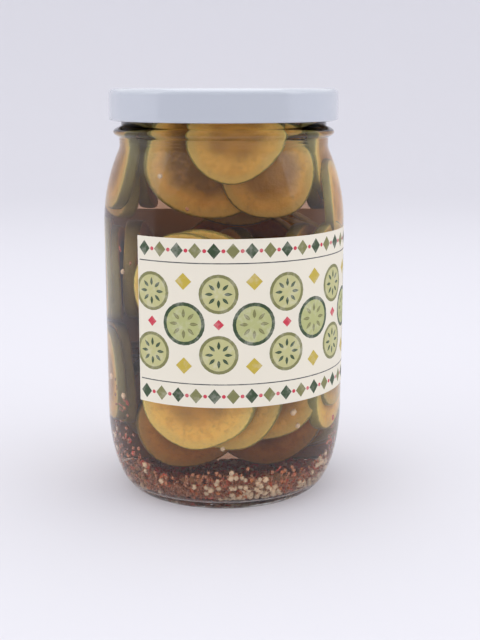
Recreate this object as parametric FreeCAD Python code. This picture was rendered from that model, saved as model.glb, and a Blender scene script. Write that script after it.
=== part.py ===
"""Wide-mouth glass pickle jar with a screw lid, a wrap label and its brine.

Every piece but the label is a solid of revolution about the Z axis. The jar
stands on Z = 0, and the label's start edge is turned from the -Y direction.
All sizes are in millimetres, all angles in degrees.
"""

import FreeCAD
import Part

import math
import os

from FreeCAD import Vector

# --- driving dimensions -------------------------------------------------
BODY_RADIUS = 48.4
WALL = 2.8

# heel and base of the glass
BEARING_RADIUS = 36.5
BEARING_WIDTH = 2.0
HEEL_HEIGHT = 34.0
PUSH_UP = 2.6
FLOOR_INSET = 2.5
FLOOR_THICKNESS = 4.0
FLOOR_CROWN = 1.8

# finish: the part of the mouth that the lid covers
FINISH_RADIUS = 43.2
FINISH_HEIGHT = 10.0
FINISH_SLOPE = 0.8
RIM_ROUND = 1.2

# shoulder, neck, transfer bead and the groove over it
SHOULDER_HEIGHT = 109.0
SHOULDER_RADIUS = 70.0
NECK_INSET = 1.6
NECK_FILLET = 6.0
NECK_RISE = 2.6
BEAD_PROUD = 0.8
BEAD_HEIGHT = 4.6
GROOVE_DEPTH = 2.4
GROOVE_HEIGHT = 3.0

# lid of enamelled tinplate
LID_SHEET = 0.6
LID_SKIRT_CLEARANCE = 1.7
LID_CORNER = 2.4
LID_CURL_RADIUS = 0.9
LID_ABOVE_BEAD = 1.9
LID_PANEL_DEPTH = 0.9
LID_PANEL_STEP = 1.2
LID_PANEL_CLEARANCE = 0.8

# paper label, wrapped round the straight part of the body
LABEL_THICKNESS = 0.15
LABEL_BELOW_SHOULDER = 0.8
LABEL_ABOVE_HEEL = 10.4
LABEL_START_ANGLE = -42.0
LABEL_SPAN_ANGLE = 300.0

# free space between the rim and the brine
HEADSPACE = 10.0

# --- worked out from the above ------------------------------------------
NECK_RADIUS = FINISH_RADIUS - NECK_INSET
GROOVE_RADIUS = FINISH_RADIUS - GROOVE_DEPTH
BEAD_RADIUS = FINISH_RADIUS + BEAD_PROUD
BORE_RADIUS = NECK_RADIUS - WALL
CAVITY_RADIUS = BODY_RADIUS - WALL
FLOOR_RADIUS = BEARING_RADIUS - FLOOR_INSET


def point(radius, height):
    """A point of an outline, drawn in the XZ plane."""
    return Vector(radius, 0, height)


def line(start, end):
    return Part.LineSegment(start, end).toShape()


def arc(start, middle, end):
    return Part.Arc(start, middle, end).toShape()


def quarter_round(start, corner, end):
    """A quarter circle from start to end that rounds off the corner."""
    centre = start + end - corner
    toward_corner = (corner - centre).normalize()
    return arc(start, centre + toward_corner * (start - centre).Length, end)


def heel_curve(floor_radius, floor_height, wall_radius, wall_height):
    """A quarter ellipse from a level floor up to an upright wall."""
    centre = point(floor_radius, wall_height)
    lowest = point(floor_radius, floor_height)
    outermost = point(wall_radius, wall_height)
    ellipse = Part.Ellipse(lowest, outermost, centre)
    return Part.ArcOfEllipse(ellipse, 0, math.pi / 2).toShape()


def shoulder_rise():
    """Height from the shoulder's start to the upright neck."""
    reach = SHOULDER_RADIUS + NECK_FILLET
    inset = reach - (BODY_RADIUS - NECK_RADIUS)
    return math.sqrt(reach ** 2 - inset ** 2)


def shoulder_curve(inset):
    """Two tangent arcs from the body to the neck, set in from the outside.

    The first bulges out and the second is the hollow fillet of the neck.
    """
    rise = shoulder_rise()
    bulge_centre = point(BODY_RADIUS - SHOULDER_RADIUS, SHOULDER_HEIGHT)
    fillet_centre = point(NECK_RADIUS + NECK_FILLET, SHOULDER_HEIGHT + rise)
    bulge_radius = SHOULDER_RADIUS - inset
    fillet_radius = NECK_FILLET + inset
    sweep = math.asin(rise / (SHOULDER_RADIUS + NECK_FILLET))

    def on_bulge(angle):
        return bulge_centre + point(math.cos(angle), math.sin(angle)) * bulge_radius

    def on_fillet(angle):
        return fillet_centre - point(math.cos(angle), math.sin(angle)) * fillet_radius

    return [
        arc(on_bulge(0), on_bulge(sweep / 2), on_bulge(sweep)),
        arc(on_fillet(sweep), on_fillet(sweep / 2), on_fillet(0)),
    ]


def levels():
    """Heights of the neck's features, stacked upward from the shoulder."""
    neck_start = SHOULDER_HEIGHT + shoulder_rise()
    bead_bottom = neck_start + NECK_RISE
    bead_top = bead_bottom + BEAD_HEIGHT
    finish_bottom = bead_top + GROOVE_HEIGHT
    rim = finish_bottom + FINISH_SLOPE + FINISH_HEIGHT
    return {
        "neck_start": neck_start,
        "bead_bottom": bead_bottom,
        "bead_top": bead_top,
        "finish_bottom": finish_bottom,
        "rim": rim,
        "brine": rim - HEADSPACE,
        "lid_bottom": bead_top + LID_ABOVE_BEAD,
        "lid_top": rim + LID_SHEET,
    }


def revolve(edges):
    """Turn a closed outline in the XZ plane into a solid about Z."""
    wire = Part.Wire(edges)
    face = Part.Face(wire)
    solid = face.revolve(Vector(0, 0, 0), Vector(0, 0, 1), 360)
    return solid if solid.Volume > 0 else solid.reversed()


def cavity(top):
    """The inside of the jar as a solid, from its floor up to a height."""
    neck_start = levels()["neck_start"]
    crown = point(0, FLOOR_THICKNESS + FLOOR_CROWN)
    floor_edge = point(FLOOR_RADIUS, FLOOR_THICKNESS)
    floor_middle = point(FLOOR_RADIUS / 2, FLOOR_THICKNESS + FLOOR_CROWN * 3 / 4)
    edges = [
        arc(crown, floor_middle, floor_edge),
        heel_curve(FLOOR_RADIUS, FLOOR_THICKNESS, CAVITY_RADIUS, HEEL_HEIGHT),
        line(point(CAVITY_RADIUS, HEEL_HEIGHT), point(CAVITY_RADIUS, SHOULDER_HEIGHT)),
        *shoulder_curve(WALL),
        line(point(BORE_RADIUS, neck_start), point(BORE_RADIUS, top)),
        line(point(BORE_RADIUS, top), point(0, top)),
        line(point(0, top), crown),
    ]
    return revolve(edges)


def jar_outside():
    """The jar's outer form as a solid body, with its push-up base."""
    at = levels()
    push_up_radius = BEARING_RADIUS - BEARING_WIDTH
    crown = point(0, PUSH_UP)
    push_up_middle = point(push_up_radius / 2, PUSH_UP * 3 / 4)
    push_up_edge = point(push_up_radius, 0)
    bearing_edge = point(BEARING_RADIUS, 0)
    groove_bottom = point(GROOVE_RADIUS, at["bead_top"])
    groove_top = point(GROOVE_RADIUS, at["finish_bottom"])
    finish_bottom = point(FINISH_RADIUS, at["finish_bottom"] + FINISH_SLOPE)
    finish_top = point(FINISH_RADIUS, at["rim"] - RIM_ROUND)
    rim_edge = point(FINISH_RADIUS - RIM_ROUND, at["rim"])
    bead_outermost = point(BEAD_RADIUS, at["bead_bottom"] + BEAD_HEIGHT / 2)
    edges = [
        arc(crown, push_up_middle, push_up_edge),
        line(push_up_edge, bearing_edge),
        heel_curve(BEARING_RADIUS, 0, BODY_RADIUS, HEEL_HEIGHT),
        line(point(BODY_RADIUS, HEEL_HEIGHT), point(BODY_RADIUS, SHOULDER_HEIGHT)),
        *shoulder_curve(0),
        line(point(NECK_RADIUS, at["neck_start"]), point(NECK_RADIUS, at["bead_bottom"])),
        arc(point(NECK_RADIUS, at["bead_bottom"]), bead_outermost, groove_bottom),
        line(groove_bottom, groove_top),
        line(groove_top, finish_bottom),
        line(finish_bottom, finish_top),
        quarter_round(finish_top, point(FINISH_RADIUS, at["rim"]), rim_edge),
        line(rim_edge, point(0, at["rim"])),
        line(point(0, at["rim"]), crown),
    ]
    return revolve(edges)


def jar_glass():
    """The empty glass jar: its outer form less the cavity."""
    return jar_outside().cut(cavity(levels()["rim"]))


def brine():
    """The filling, out to the glass and up to its level."""
    return cavity(levels()["brine"])


def lid():
    """A shallow cap that seats on the rim, its lower edge rolled inward.

    Its round middle panel is stepped down inside the mouth of the jar.
    """
    top = levels()["lid_top"]
    bottom = levels()["lid_bottom"]
    inside = FINISH_RADIUS + LID_SKIRT_CLEARANCE
    outside = inside + LID_SHEET
    curl_top = bottom + 2 * LID_CURL_RADIUS
    curl_inside = outside - 2 * LID_CURL_RADIUS
    curl_middle = bottom + LID_CURL_RADIUS
    inner_corner = LID_CORNER - LID_SHEET
    panel_top = top - LID_PANEL_DEPTH
    panel_edge = BORE_RADIUS - LID_PANEL_CLEARANCE
    panel_radius = panel_edge - LID_PANEL_STEP
    edges = [
        line(point(0, panel_top), point(panel_radius, panel_top)),
        line(point(panel_radius, panel_top), point(panel_edge, top)),
        line(point(panel_edge, top), point(outside - LID_CORNER, top)),
        quarter_round(
            point(outside - LID_CORNER, top), point(outside, top), point(outside, top - LID_CORNER)
        ),
        line(point(outside, top - LID_CORNER), point(outside, curl_middle)),
        arc(
            point(outside, curl_middle),
            point(outside - LID_CURL_RADIUS, bottom),
            point(curl_inside, curl_middle),
        ),
        quarter_round(
            point(curl_inside, curl_middle),
            point(curl_inside, curl_top),
            point(outside - LID_CURL_RADIUS, curl_top),
        ),
        line(point(outside - LID_CURL_RADIUS, curl_top), point(inside, curl_top)),
        line(point(inside, curl_top), point(inside, top - LID_CORNER)),
        quarter_round(
            point(inside, top - LID_CORNER),
            point(inside, top - LID_SHEET),
            point(inside - inner_corner, top - LID_SHEET),
        ),
        line(point(inside - inner_corner, top - LID_SHEET), point(panel_edge, top - LID_SHEET)),
        line(point(panel_edge, top - LID_SHEET), point(panel_radius, panel_top - LID_SHEET)),
        line(point(panel_radius, panel_top - LID_SHEET), point(0, panel_top - LID_SHEET)),
        line(point(0, panel_top - LID_SHEET), point(0, panel_top)),
    ]
    return revolve(edges)


def label():
    """The paper wrap: part of a thin tube on the straight body."""
    bottom = HEEL_HEIGHT + LABEL_ABOVE_HEEL
    top = SHOULDER_HEIGHT - LABEL_BELOW_SHOULDER
    outside = BODY_RADIUS + LABEL_THICKNESS
    inner = point(BODY_RADIUS, bottom)
    outer = point(outside, bottom)
    section = Part.Face(
        Part.Wire(
            [
                line(inner, outer),
                line(outer, point(outside, top)),
                line(point(outside, top), point(BODY_RADIUS, top)),
                line(point(BODY_RADIUS, top), inner),
            ]
        )
    )
    section.rotate(Vector(0, 0, 0), Vector(0, 0, 1), LABEL_START_ANGLE - 90)
    return section.revolve(Vector(0, 0, 0), Vector(0, 0, 1), LABEL_SPAN_ANGLE)


NODES = {
    "jar_glass": jar_glass,
    "lid": lid,
    "label": label,
    "brine": brine,
}

os.makedirs("parts", exist_ok=True)
for node, make in NODES.items():
    shape = make()
    shape.exportStep(os.path.join("parts", node + ".step"))
    box = shape.BoundBox
    print(
        f"{node}: {len(shape.Solids)} solid, valid {shape.isValid()}, {shape.Volume / 1000:.1f} cm3, "
        f"X {box.XMin:.2f}..{box.XMax:.2f}, Y {box.YMin:.2f}..{box.YMax:.2f}, "
        f"Z {box.ZMin:.2f}..{box.ZMax:.2f}"
    )
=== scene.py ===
"""Looks of a full pickle jar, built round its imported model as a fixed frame.

Lengths are in metres and angles in radians, in the frame's own axes: +Z up,
the jar's axis on Z, and the label's start edge to the left of -Y.
"""

import math

import bmesh
import bpy
import numpy as np
from mathutils import Euler, Matrix, Vector


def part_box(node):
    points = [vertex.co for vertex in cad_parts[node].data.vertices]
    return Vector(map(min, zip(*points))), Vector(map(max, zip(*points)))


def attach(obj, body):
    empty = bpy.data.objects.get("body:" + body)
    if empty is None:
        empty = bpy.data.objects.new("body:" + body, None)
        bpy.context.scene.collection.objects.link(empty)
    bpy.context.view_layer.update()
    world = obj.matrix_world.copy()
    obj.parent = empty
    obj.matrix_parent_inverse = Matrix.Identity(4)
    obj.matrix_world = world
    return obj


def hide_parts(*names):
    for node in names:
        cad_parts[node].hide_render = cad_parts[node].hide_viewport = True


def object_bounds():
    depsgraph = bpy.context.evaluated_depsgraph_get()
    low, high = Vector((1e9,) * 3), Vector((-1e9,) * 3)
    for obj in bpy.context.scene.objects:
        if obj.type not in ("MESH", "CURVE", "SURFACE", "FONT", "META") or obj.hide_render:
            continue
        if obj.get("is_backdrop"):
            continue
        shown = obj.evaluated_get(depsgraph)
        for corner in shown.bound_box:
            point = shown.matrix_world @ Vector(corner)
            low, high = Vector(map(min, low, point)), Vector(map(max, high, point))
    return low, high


bl_info = {
    "name": "Pickle jar",
    "version": (1, 0, 0),
    "blender": (4, 5, 0),
    "location": "3D View > Sidebar > Jar",
    "description": "Builds a full pickle jar with its label, brine, slices and spices",
    "category": "Add Mesh",
}

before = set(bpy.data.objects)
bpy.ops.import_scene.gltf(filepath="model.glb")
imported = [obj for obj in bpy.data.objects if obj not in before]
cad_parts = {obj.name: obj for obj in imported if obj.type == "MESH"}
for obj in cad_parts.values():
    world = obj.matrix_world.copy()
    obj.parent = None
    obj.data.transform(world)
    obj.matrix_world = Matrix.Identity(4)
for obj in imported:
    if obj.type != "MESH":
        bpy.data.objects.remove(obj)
CAD_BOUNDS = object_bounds()
GLASS_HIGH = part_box("jar_glass")[1]
BRINE_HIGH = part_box("brine")[1]
LABEL_LOW, LABEL_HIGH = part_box("label")
LABEL_RADIUS = GLASS_HIGH.x

MM = 0.001
TURN = 2 * math.pi


# --- settings ------------------------------------------------------------


def length(name, description, default):
    return bpy.props.FloatProperty(
        name=name, description=description, default=default, unit="LENGTH", precision=5
    )


def angle(name, description, degrees):
    return bpy.props.FloatProperty(
        name=name, description=description, default=math.radians(degrees), subtype="ANGLE"
    )


def amount(name, description, default):
    return bpy.props.FloatProperty(name=name, description=description, default=default)


def colour(name, description, default):
    return bpy.props.FloatVectorProperty(
        name=name, description=description, default=default, size=3, subtype="COLOR", min=0, max=1
    )


class JarGlassSettings(bpy.types.PropertyGroup):
    body_radius: length("Body radius", "Outside radius of the straight body", GLASS_HIGH.x)
    wall: length("Wall", "Thickness of the glass wall", 2.8 * MM)
    bearing_radius: length("Bearing radius", "Outer radius of the ring the jar stands on", 36.5 * MM)
    bearing_width: length("Bearing width", "Width of the ring the jar stands on", 2.0 * MM)
    heel_height: length("Heel height", "Height where the straight body starts", 34.0 * MM)
    push_up: length("Push-up", "Rise of the underside's middle", 2.6 * MM)
    floor_inset: length("Floor inset", "Step in from the bearing ring to the level floor", 2.5 * MM)
    floor_thickness: length("Floor thickness", "Height of the floor's edge", 4.0 * MM)
    floor_crown: length("Floor crown", "Rise of the floor's middle", 1.8 * MM)
    shoulder_height: length("Shoulder height", "Height where the body starts to turn in", 109.0 * MM)
    shoulder_radius: length("Shoulder radius", "Radius of the shoulder's bulging arc", 70.0 * MM)
    finish_radius: length("Finish radius", "Outside radius of the mouth under the lid", 43.2 * MM)
    neck_inset: length("Neck inset", "Step in from the finish to the neck", 1.6 * MM)
    neck_fillet: length("Neck fillet", "Radius of the hollow arc under the neck", 6.0 * MM)
    neck_rise: length("Neck rise", "Straight neck under the bead", 2.6 * MM)
    bead_height: length("Bead height", "Height of the bead round the neck", 4.6 * MM)
    bead_proud: length("Bead reach", "How far the bead stands out past the finish", 0.8 * MM)
    groove_depth: length("Groove depth", "Step in from the finish to the groove", 2.4 * MM)
    groove_height: length("Groove height", "Height of the groove over the bead", 3.0 * MM)
    finish_slope: length("Finish slope", "Height of the slope under the finish", 0.8 * MM)
    rim_round: length("Rim round", "Radius of the rim's outer edge", 1.2 * MM)
    tint: colour("Glass tint", "Colour of the clear glass", (0.985, 0.992, 0.988))


class JarLidSettings(bpy.types.PropertyGroup):
    enamel: colour("Enamel", "Darker of the lid's two whites", (0.555, 0.59, 0.655))
    bright_enamel: colour("Bright enamel", "Brighter of the lid's two whites", (0.59, 0.62, 0.67))


class JarContentSettings(bpy.types.PropertyGroup):
    into_wall: length("Into the wall", "How far the brine reaches into the glass", 0.25 * MM)
    brine_colour: colour("Brine colour", "What the brine lets through", (0.77, 0.62, 0.50))
    brine_density: amount("Brine density", "How fast the brine darkens with depth, per metre", 46.0)
    slice_radius: length("Slice radius", "Usual radius of a slice", 23.0 * MM)
    slice_thickness: length("Slice thickness", "Usual thickness of a slice", 4.8 * MM)
    flesh: colour("Flesh", "Colour of a slice's flesh", (0.92, 0.56, 0.13))
    core: colour("Core", "Colour of a slice's seedy middle", (0.68, 0.36, 0.07))
    rim_flesh: colour("Outer flesh", "Colour of the firm flesh under the skin", (0.76, 0.54, 0.15))
    skin: colour("Skin", "Colour of the green skin", (0.27, 0.235, 0.065))
    seed_colour: colour("Seed", "Colour of the mustard seeds", (0.90, 0.64, 0.40))
    flake_colour: colour("Flake", "Colour of the red pepper flakes", (0.72, 0.11, 0.07))
    grain_colour: colour("Grain", "Colour of the brown spice grains", (0.62, 0.26, 0.13))


class JarLabelSettings(bpy.types.PropertyGroup):
    start: angle("Start", "Where the label starts, counter-clockwise from +X", -132)
    span: angle("Span", "How far round the jar the label runs", 300)
    thickness: length("Paper", "Thickness of the paper", 0.09 * MM)
    paper: colour("Paper colour", "Colour of the label's ground", (0.89, 0.835, 0.69))
    olive: colour("Olive", "Lighter green ink", (0.235, 0.235, 0.085))
    dark_green: colour("Dark green", "Darker green ink", (0.045, 0.085, 0.035))
    pale_green: colour("Pale green", "Flesh of the large rounds", (0.50, 0.52, 0.22))
    straw: colour("Straw", "Flesh of the small rounds", (0.58, 0.56, 0.26))
    red: colour("Red", "Ink of the dots and the small diamonds", (0.66, 0.04, 0.075))
    yellow: colour("Yellow", "Ink of the large diamonds", (0.60, 0.45, 0.055))
    teal: colour("Teal", "Inner line of the empty frame", (0.006, 0.16, 0.085))
    slate: colour("Slate", "Ink of rules and outlines", (0.045, 0.055, 0.06))
    panel_ground: colour("Panel ground", "Ground of the ruled panel", (0.80, 0.77, 0.72))
    panel_rule: colour("Panel rule", "Ink of the panel's rules", (0.30, 0.29, 0.33))


class JarStageSettings(bpy.types.PropertyGroup):
    floor_colour: colour("Floor", "Colour of the floor and backdrop", (0.76, 0.755, 0.80))
    camera_distance: length("Camera distance", "From the jar's axis, along the floor", 0.446)
    camera_height: length("Camera height", "Over the surface the jar stands on", 0.162)
    camera_pitch: angle("Camera pitch", "How far the camera looks down", 11.9)
    camera_turn: angle("Camera turn", "How far the camera looks to the right of the axis", 0.83)
    camera_lens: amount("Lens", "Focal length in millimetres on a 36 mm film", 61.9)
    world_strength: amount("World", "Strength of the even light all round", 1.0)


# --- materials -----------------------------------------------------------


def add_node(tree, kind, settings, values):
    """Add a node, with its settings first and then its sockets' values or links."""
    node = tree.nodes.new(kind)
    for key, value in (settings or {}).items():
        setattr(node, key, value)
    for key, value in (values or {}).items():
        if isinstance(value, Signal):
            value = value.socket
        if isinstance(value, bpy.types.NodeSocket):
            tree.links.new(value, node.inputs[key])
        else:
            node.inputs[key].default_value = value
    return node


class Signal:
    """One output of a material's nodes. Arithmetic on it adds Math nodes."""

    def __init__(self, shader, socket):
        self.shader = shader
        self.socket = socket

    def maths(self, operation, *others, clamp=False):
        settings = {"operation": operation, "use_clamp": clamp}
        return self.shader.add("ShaderNodeMath", settings, dict(enumerate([self, *others])))

    def __add__(self, other):
        return self.maths("ADD", other)

    __radd__ = __add__

    def __mul__(self, other):
        return self.maths("MULTIPLY", other)

    __rmul__ = __mul__

    def __sub__(self, other):
        return self.maths("SUBTRACT", other)

    def __rsub__(self, other):
        return self.shader.add("ShaderNodeMath", {"operation": "SUBTRACT"}, {0: other, 1: self})

    def clamped(self):
        return self.maths("ADD", 0.0, clamp=True)

    def band(self, low, high):
        """0 below low and 1 above high, with a smooth rise between them."""
        settings = {"interpolation_type": "SMOOTHSTEP"}
        return self.shader.add("ShaderNodeMapRange", settings, {0: self, 1: low, 2: high})


class Shader:
    """The nodes of a new material, started empty."""

    def __init__(self, name):
        self.material = bpy.data.materials.new(name)
        self.material.use_nodes = True
        self.tree = self.material.node_tree
        self.tree.nodes.clear()

    def add(self, kind, settings=None, values=None, output=0):
        """Add a node, and give one of its outputs."""
        node = add_node(self.tree, kind, settings, values)
        return Signal(self, node.outputs[output]) if node.outputs else None

    def place(self, stretch=(1, 1, 1)):
        """Object coordinates, stretched along the axes."""
        where = self.add("ShaderNodeTexCoord", output="Object")
        return self.add("ShaderNodeMapping", {"vector_type": "POINT"}, {"Vector": where, "Scale": stretch})

    def noise(self, scale, detail=3.0, roughness=0.5, where=None, distortion=0.0):
        values = {"Vector": where or self.place(), "Scale": scale, "Detail": detail}
        values.update({"Roughness": roughness, "Distortion": distortion})
        return self.add("ShaderNodeTexNoise", None, values)

    def attribute(self, name, output="Fac"):
        return self.add("ShaderNodeAttribute", {"attribute_name": name}, output=output)

    def mix(self, factor, first, second):
        """Mix two colours."""

        def ready(value):
            return value if isinstance(value, Signal) else (*value, 1.0)

        values = {0: factor, 6: ready(first), 7: ready(second)}
        return self.add("ShaderNodeMix", {"data_type": "RGBA"}, values, output=2)

    def bump(self, height, distance):
        values = {"Height": height, "Distance": distance, "Strength": 1.0}
        return self.add("ShaderNodeBump", None, values)

    def principled(self, values):
        self.surface = self.add("ShaderNodeBsdfPrincipled", None, values)

    def let_lamps_through(self, tint):
        """Let light straight in, so that it reaches what the glass and the brine hold."""
        path = "ShaderNodeLightPath"
        lamp = self.add(path, output="Is Shadow Ray")
        straight = lamp.maths("MAXIMUM", self.add(path, output="Is Diffuse Ray"))
        clear = self.add("ShaderNodeBsdfTransparent", None, {"Color": (*tint, 1.0)})
        self.surface = self.add("ShaderNodeMixShader", None, {0: straight, 1: self.surface, 2: clear})

    def done(self, volume=None):
        values = {"Surface": self.surface}
        if volume is not None:
            values["Volume"] = volume
        self.add("ShaderNodeOutputMaterial", None, values)
        return self.material


def glass_material(settings):
    """Clear glass. The wet inner face has next to no reflection of its own, so the
    tint gives each of the wall's two faces half of what the outer one has."""
    shader = Shader("Clear glass")
    ripple = shader.noise(38.0, detail=1.0, where=shader.place((1, 1, 0.55)))
    shader.principled(
        {
            "Base Color": (*settings.tint, 1.0),
            "Roughness": 0.0,
            "IOR": 1.5,
            "Transmission Weight": 1.0,
            "Specular Tint": (0.55, 0.55, 0.55, 1.0),
            "Normal": shader.bump(ripple, 0.06 * MM),
        }
    )
    shader.let_lamps_through((0.975, 0.98, 0.978))
    return shader.done()


def enamel_material(lid):
    shader = Shader("White lid enamel")
    peel = shader.noise(900.0, detail=2.0)
    cloud = shader.noise(30.0, detail=2.0)
    tone = shader.mix(cloud, lid.enamel, lid.bright_enamel)
    shader.principled(
        {
            "Base Color": tone,
            "Roughness": cloud * 0.08 + 0.22,
            "Coat Weight": 0.8,
            "Coat Roughness": 0.1,
            "Normal": shader.bump(peel, 0.012 * MM),
        }
    )
    return shader.done()


def brine_material(settings):
    """Amber liquid, whose colour deepens with depth; what it mirrors is the glass's part."""
    shader = Shader("Amber brine")
    ripple = shader.noise(24.0, detail=1.0)
    shader.principled(
        {
            "Base Color": (1.0, 1.0, 1.0, 1.0),
            "Roughness": 0.0,
            "IOR": 1.34,
            "Transmission Weight": 1.0,
            "Specular Tint": (0.0, 0.0, 0.0, 1.0),
            "Normal": shader.bump(ripple, 0.02 * MM),
        }
    )
    shader.let_lamps_through((1.0, 1.0, 1.0))
    values = {"Color": (*settings.brine_colour, 1.0), "Density": settings.brine_density}
    return shader.done(shader.add("ShaderNodeVolumeAbsorption", None, values))


def slice_material(settings):
    """Flesh in rings: a seedy core, paler firm flesh, and a thin green skin. The core is darkened with
    painted shade as far as the slice's hollow value asks.
    """
    shader = Shader("Pickled flesh")
    across = shader.attribute("across")
    tone = shader.attribute("tone")
    blur = shader.noise(130.0, detail=3.0)
    fine = shader.noise(700.0, detail=3.0, roughness=0.6)
    hollow = shader.attribute("hollow")
    reach = across + (blur - 0.5) * 0.22
    # The hollow value darkens the core towards a painted shade, as the shadow of a slice in front would,
    # and widens the dark core.
    dark_core = tuple(0.22 * c for c in settings.core)
    soaked = shader.mix(hollow, settings.core, dark_core)
    ripe = reach.band(hollow * 0.34 + 0.28, hollow * 0.18 + 0.70)
    flesh = shader.mix(ripe, soaked, settings.flesh)
    patchy = shader.noise(330.0, detail=2.0, distortion=0.6).band(0.42, 0.66)
    flesh = shader.mix(patchy * 0.45, flesh, settings.core)
    firm = shader.mix(reach.band(0.74, 0.95), flesh, settings.rim_flesh)
    lobes = shader.attribute("lobes") * (0.75 + (fine - 0.5) * 1.2)
    wet_lobe = (0.34, 0.19, 0.05)
    seedy = shader.mix((lobes * 0.6).clamped(), firm, wet_lobe)
    brown_fleck = (0.42, 0.27, 0.09)
    grainy = shader.mix(fine.band(0.52, 0.72) * 0.28, seedy, brown_fleck)
    skinned = shader.mix((across + (fine - 0.5) * 0.05).band(0.955, 0.995), grainy, settings.skin)
    shade = shader.add("ShaderNodeHueSaturation", None, {"Value": 0.62 + tone * 0.4, "Color": skinned})
    shader.principled(
        {
            "Base Color": shade,
            "Roughness": 0.35,
            "IOR": 1.36,
            "Subsurface Weight": 0.3,
            "Subsurface Radius": (3.0 * MM, 2.0 * MM, 0.8 * MM),
            "Subsurface Scale": 1.0,
            "Normal": shader.bump(fine + blur * 0.6, 0.3 * MM),
        }
    )
    return shader.done()


def grain_material(name, base, dark, roughness):
    """A spice whose every grain has its own tone."""
    shader = Shader(name)
    tone = shader.attribute("grain")
    speckle = shader.noise(1500.0, detail=1.0)
    shader.principled(
        {
            "Base Color": shader.mix((tone * 0.75 + speckle * 0.35).clamped(), dark, base),
            "Roughness": roughness,
            "Normal": shader.bump(speckle, 0.05 * MM),
        }
    )
    return shader.done()


def paper_material(label):
    shader = Shader("Cream label paper")
    fibre = shader.noise(700.0, detail=4.0, roughness=0.6, where=shader.place((1, 1, 2.2)))
    cloud = shader.noise(45.0, detail=2.0)
    dim, bright = (tuple(share * c for c in label.paper) for share in (0.975, 1.02))
    shader.principled(
        {
            "Base Color": shader.mix(cloud, dim, bright),
            "Roughness": 0.5 + fibre * 0.12,
            "Normal": shader.bump(fibre, 0.02 * MM),
        }
    )
    return shader.done()


def ink_material():
    """Printed ink, in the colour that each shape carries, worn thin in spots."""
    shader = Shader("Label inks")
    ink = shader.attribute("ink", output="Color")
    wash = shader.noise(260.0, detail=4.0, roughness=0.65)
    worn_ink = (0.80, 0.76, 0.66)
    tinted = shader.mix((wash.band(0.45, 0.75) * 0.35).clamped(), ink, worn_ink)
    shader.principled({"Base Color": tinted, "Roughness": 0.48 + wash * 0.1})
    return shader.done()


def floor_material(settings):
    shader = Shader("Pale floor")
    cloud = shader.noise(1.2, detail=2.0)
    near = tuple(settings.floor_colour)
    far = tuple(c * 0.97 for c in near)
    tone = shader.mix(cloud, far, near)
    shader.principled({"Base Color": tone, "Roughness": 0.9, "Specular IOR Level": 0.0})
    return shader.done()


# --- making meshes -------------------------------------------------------

FLOOR_STEPS = 6
SHOULDER_STEPS = 24
INSIDE_HEEL_STEPS = 28
OUTSIDE_HEEL_STEPS = 30
ON_AXIS = 0.0001 * MM


def new_piece(name, vertices, faces, material, smooth=True):
    """A mesh object at the origin, its faces turned outward."""
    mesh = bpy.data.meshes.new(name)
    mesh.from_pydata([tuple(v) for v in vertices], [], faces)
    shell = bmesh.new()
    shell.from_mesh(mesh)
    bmesh.ops.recalc_face_normals(shell, faces=shell.faces)
    shell.to_mesh(mesh)
    shell.free()
    for polygon in mesh.polygons:
        polygon.use_smooth = smooth
    piece = bpy.data.objects.new(name, mesh)
    bpy.context.collection.objects.link(piece)
    mesh.materials.append(material)
    return piece


def join_frame(piece, slot, *nodes):
    """Let a finished piece ride on the jar, and stand for CAD nodes."""
    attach(piece, "root")
    if nodes:
        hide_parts(*nodes)


def arc(centre, radius, start, end, count):
    """Points of an outline along an arc, as (radius, height) pairs."""
    steps = [start + (end - start) * i / count for i in range(count + 1)]
    return [(centre[0] + radius * math.cos(a), centre[1] + radius * math.sin(a)) for a in steps]


def bow(start, middle, end, count):
    """Points along a parabola through three outline points."""
    points = []
    for i in range(count + 1):
        t = i / count
        weights = ((1 - t) * (1 - 2 * t), 4 * t * (1 - t), t * (2 * t - 1))
        pair = zip(start, middle, end)
        points.append(tuple(sum(w * p for w, p in zip(weights, axis)) for axis in pair))
    return points


def crown(radius, edge, rise, count):
    """A shallow crown, from its middle out to its edge."""
    return bow((0, edge + rise), (radius / 2, edge + rise * 0.75), (radius, edge), count)


def heel(floor_radius, floor_height, wall_radius, wall_height, count):
    """A quarter ellipse from the level floor to the upright wall."""
    points = []
    for i in range(count + 1):
        a = math.pi / 2 * i / count
        radius = floor_radius + (wall_radius - floor_radius) * math.sin(a)
        points.append((radius, wall_height - (wall_height - floor_height) * math.cos(a)))
    return points


def shoulder(glass, inset, count):
    """The shoulder's bulging arc and the neck's hollow one, set in from the outside."""
    neck = glass.finish_radius - glass.neck_inset
    reach = glass.shoulder_radius + glass.neck_fillet
    rise = math.sqrt(reach**2 - (reach - (glass.body_radius - neck)) ** 2)
    sweep = math.asin(rise / reach)
    bulge = (glass.body_radius - glass.shoulder_radius, glass.shoulder_height)
    hollow = (neck + glass.neck_fillet, glass.shoulder_height + rise)
    out = arc(bulge, glass.shoulder_radius - inset, 0, sweep, count)
    turn = arc(hollow, glass.neck_fillet + inset, math.pi + sweep, math.pi, count // 3)
    return out + turn[1:]


def neck_start(glass):
    return shoulder(glass, 0, 3)[-1][1]


def cavity(glass, inset, top):
    """The inside of the jar from the floor's middle up to a height."""
    floor_radius = glass.bearing_radius - glass.floor_inset
    floor = glass.floor_thickness - (glass.wall - inset)
    wall_radius = glass.body_radius - inset
    outline = crown(floor_radius, floor, glass.floor_crown, FLOOR_STEPS)
    outline += heel(floor_radius, floor, wall_radius, glass.heel_height, INSIDE_HEEL_STEPS)[1:]
    outline += shoulder(glass, inset, SHOULDER_STEPS)
    outline.append((glass.finish_radius - glass.neck_inset - inset, top))
    return outline


def wall_inside(glass, inset):
    """Heights and radii of the inside above the floor's crown, up to the brine."""
    outline = cavity(glass, inset, BRINE_HIGH.z)[FLOOR_STEPS:]
    return [h for _, h in outline], [r for r, _ in outline]


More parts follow.
